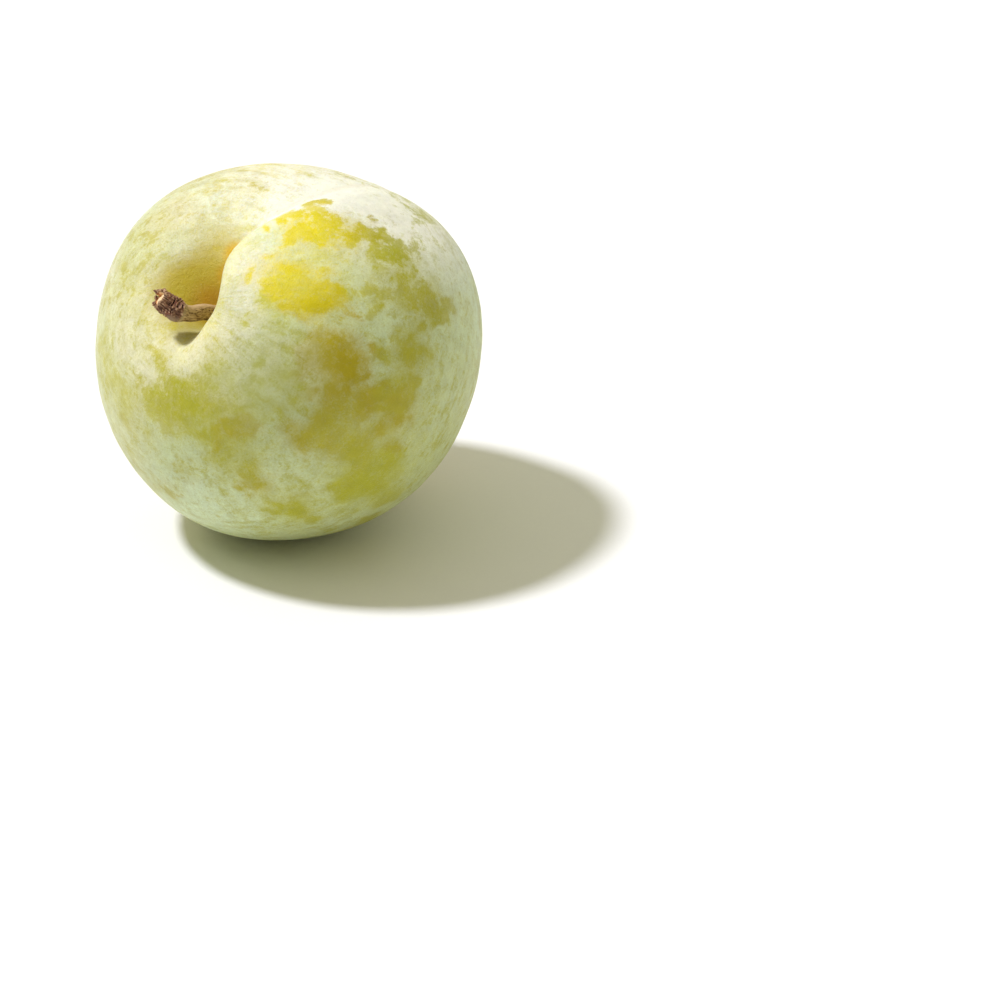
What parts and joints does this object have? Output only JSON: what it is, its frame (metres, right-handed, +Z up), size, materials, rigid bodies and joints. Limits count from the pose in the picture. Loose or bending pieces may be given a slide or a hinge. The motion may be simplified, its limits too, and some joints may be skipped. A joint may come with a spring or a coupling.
{
  "type": "plumcot",
  "caption": "Round stone fruit lying on its cheek, with a deep stem hollow, a seam down one side and a short knobbed stem.",
  "frame": {"origin": "the middle of the small flat spot that the fruit rests on", "axes": "+Z up. The stem points towards -X and -Y and rises 38 degrees above the table. The seam runs from the stem hollow over the top of the fruit"},
  "size_m": [0.0567, 0.0556, 0.054],
  "materials": {
    "skin": "yellow-green plum skin under a pale, partly rubbed waxy bloom",
    "stem": "dry brown fruit stalk with a rough, ringed, broken-off knob"
  },
  "bodies": {
    "root": {"fruit": "skin", "stem": "stem"}
  },
  "joints": []
}
